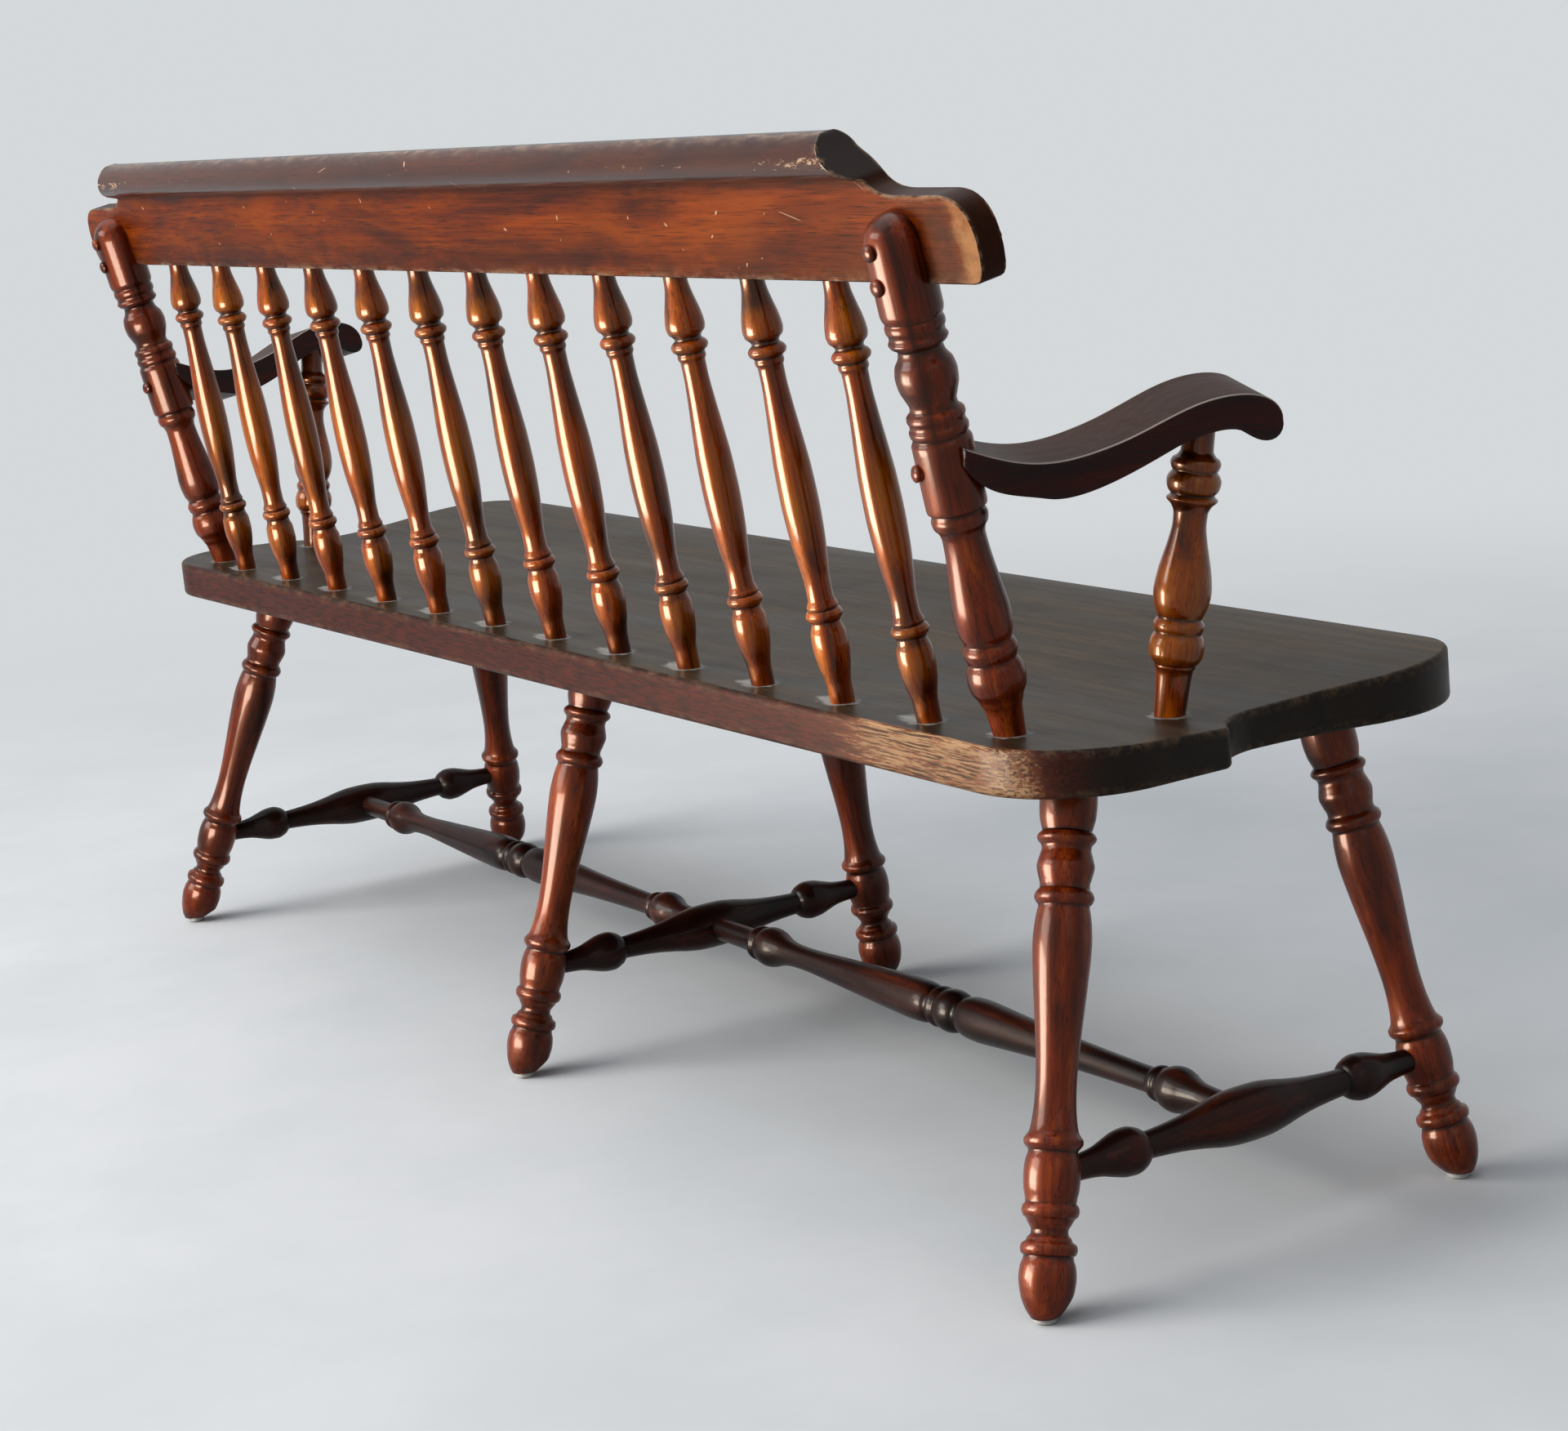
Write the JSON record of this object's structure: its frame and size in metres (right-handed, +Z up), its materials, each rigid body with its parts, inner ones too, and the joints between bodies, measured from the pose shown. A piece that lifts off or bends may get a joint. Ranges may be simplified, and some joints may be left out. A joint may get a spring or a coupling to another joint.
{
  "type": "deacons bench",
  "caption": "Long spindle-back wooden bench with a scooped plank seat, turned splayed legs joined by stretchers, a rolled crest rail and two curved arms, for seating people side by side.",
  "frame": {"origin": "on the floor, below the centre of the bench's bounding box", "axes": "+X along the bench towards the sitter's left end, +Y towards the back, +Z up; the sitter faces -Y"},
  "size_m": [1.806, 0.5392, 0.9242],
  "materials": {
    "seat": "dark grey-brown stained plank, satin lacquer, grain along its length, worn edges",
    "crest_rail": "dark red-brown stain under satin-gloss lacquer, turned or sawn hardwood",
    "back_leg_left": "dark red-brown stain under satin-gloss lacquer, turned or sawn hardwood",
    "back_glide_left": "off-white moulded nail-on glide",
    "front_leg_left": "dark red-brown stain under satin-gloss lacquer, turned or sawn hardwood",
    "front_glide_left": "off-white moulded nail-on glide",
    "cross_stretcher_left": "nearly black-brown stain under satin lacquer",
    "back_leg_middle": "dark red-brown stain under satin-gloss lacquer, turned or sawn hardwood",
    "back_glide_middle": "off-white moulded nail-on glide",
    "front_leg_middle": "dark red-brown stain under satin-gloss lacquer, turned or sawn hardwood",
    "front_glide_middle": "off-white moulded nail-on glide",
    "cross_stretcher_middle": "nearly black-brown stain under satin lacquer",
    "back_leg_right": "dark red-brown stain under satin-gloss lacquer, turned or sawn hardwood",
    "back_glide_right": "off-white moulded nail-on glide",
    "front_leg_right": "dark red-brown stain under satin-gloss lacquer, turned or sawn hardwood",
    "front_glide_right": "off-white moulded nail-on glide",
    "cross_stretcher_right": "nearly black-brown stain under satin lacquer",
    "long_stretcher_left": "nearly black-brown stain under satin lacquer",
    "back_post_left": "dark red-brown stain under satin-gloss lacquer, turned or sawn hardwood",
    "arm_left": "dark red-brown stain under satin-gloss lacquer, turned or sawn hardwood",
    "arm_support_left": "amber-brown stain with darker glaze in the grooves, satin-gloss lacquer, turned hardwood",
    "crest_screw_upper_left": "plain zinc-plated wood screw",
    "crest_screw_upper_left_cap": "nearly black-brown stain under satin lacquer",
    "crest_screw_lower_left": "plain zinc-plated wood screw",
    "crest_screw_lower_left_cap": "nearly black-brown stain under satin lacquer",
    "arm_screw_left": "plain zinc-plated wood screw",
    "arm_screw_left_cap": "nearly black-brown stain under satin lacquer",
    "long_stretcher_right": "nearly black-brown stain under satin lacquer",
    "back_post_right": "dark red-brown stain under satin-gloss lacquer, turned or sawn hardwood",
    "arm_right": "dark red-brown stain under satin-gloss lacquer, turned or sawn hardwood",
    "arm_support_right": "amber-brown stain with darker glaze in the grooves, satin-gloss lacquer, turned hardwood",
    "crest_screw_upper_right": "plain zinc-plated wood screw",
    "crest_screw_upper_right_cap": "nearly black-brown stain under satin lacquer",
    "crest_screw_lower_right": "plain zinc-plated wood screw",
    "crest_screw_lower_right_cap": "nearly black-brown stain under satin lacquer",
    "arm_screw_right": "plain zinc-plated wood screw",
    "arm_screw_right_cap": "nearly black-brown stain under satin lacquer",
    "spindle_01": "amber-brown stain with darker glaze in the grooves, satin-gloss lacquer, turned hardwood",
    "spindle_02": "amber-brown stain with darker glaze in the grooves, satin-gloss lacquer, turned hardwood",
    "spindle_03": "amber-brown stain with darker glaze in the grooves, satin-gloss lacquer, turned hardwood",
    "spindle_04": "amber-brown stain with darker glaze in the grooves, satin-gloss lacquer, turned hardwood",
    "spindle_05": "amber-brown stain with darker glaze in the grooves, satin-gloss lacquer, turned hardwood",
    "spindle_06": "amber-brown stain with darker glaze in the grooves, satin-gloss lacquer, turned hardwood",
    "spindle_07": "amber-brown stain with darker glaze in the grooves, satin-gloss lacquer, turned hardwood",
    "spindle_08": "amber-brown stain with darker glaze in the grooves, satin-gloss lacquer, turned hardwood",
    "spindle_09": "amber-brown stain with darker glaze in the grooves, satin-gloss lacquer, turned hardwood",
    "spindle_10": "amber-brown stain with darker glaze in the grooves, satin-gloss lacquer, turned hardwood",
    "spindle_11": "amber-brown stain with darker glaze in the grooves, satin-gloss lacquer, turned hardwood",
    "spindle_12": "amber-brown stain with darker glaze in the grooves, satin-gloss lacquer, turned hardwood"
  },
  "bodies": {
    "root": {"seat": "seat", "crest_rail": "crest_rail", "back_leg_left": "back_leg_left", "back_glide_left": "back_glide_left", "front_leg_left": "front_leg_left", "front_glide_left": "front_glide_left", "cross_stretcher_left": "cross_stretcher_left", "back_leg_middle": "back_leg_middle", "back_glide_middle": "back_glide_middle", "front_leg_middle": "front_leg_middle", "front_glide_middle": "front_glide_middle", "cross_stretcher_middle": "cross_stretcher_middle", "back_leg_right": "back_leg_right", "back_glide_right": "back_glide_right", "front_leg_right": "front_leg_right", "front_glide_right": "front_glide_right", "cross_stretcher_right": "cross_stretcher_right", "long_stretcher_left": "long_stretcher_left", "back_post_left": "back_post_left", "arm_left": "arm_left", "arm_support_left": "arm_support_left", "crest_screw_upper_left": "crest_screw_upper_left", "crest_screw_upper_left_cap": "crest_screw_upper_left_cap", "crest_screw_lower_left": "crest_screw_lower_left", "crest_screw_lower_left_cap": "crest_screw_lower_left_cap", "arm_screw_left": "arm_screw_left", "arm_screw_left_cap": "arm_screw_left_cap", "long_stretcher_right": "long_stretcher_right", "back_post_right": "back_post_right", "arm_right": "arm_right", "arm_support_right": "arm_support_right", "crest_screw_upper_right": "crest_screw_upper_right", "crest_screw_upper_right_cap": "crest_screw_upper_right_cap", "crest_screw_lower_right": "crest_screw_lower_right", "crest_screw_lower_right_cap": "crest_screw_lower_right_cap", "arm_screw_right": "arm_screw_right", "arm_screw_right_cap": "arm_screw_right_cap", "spindle_01": "spindle_01", "spindle_02": "spindle_02", "spindle_03": "spindle_03", "spindle_04": "spindle_04", "spindle_05": "spindle_05", "spindle_06": "spindle_06", "spindle_07": "spindle_07", "spindle_08": "spindle_08", "spindle_09": "spindle_09", "spindle_10": "spindle_10", "spindle_11": "spindle_11", "spindle_12": "spindle_12"}
  },
  "joints": []
}
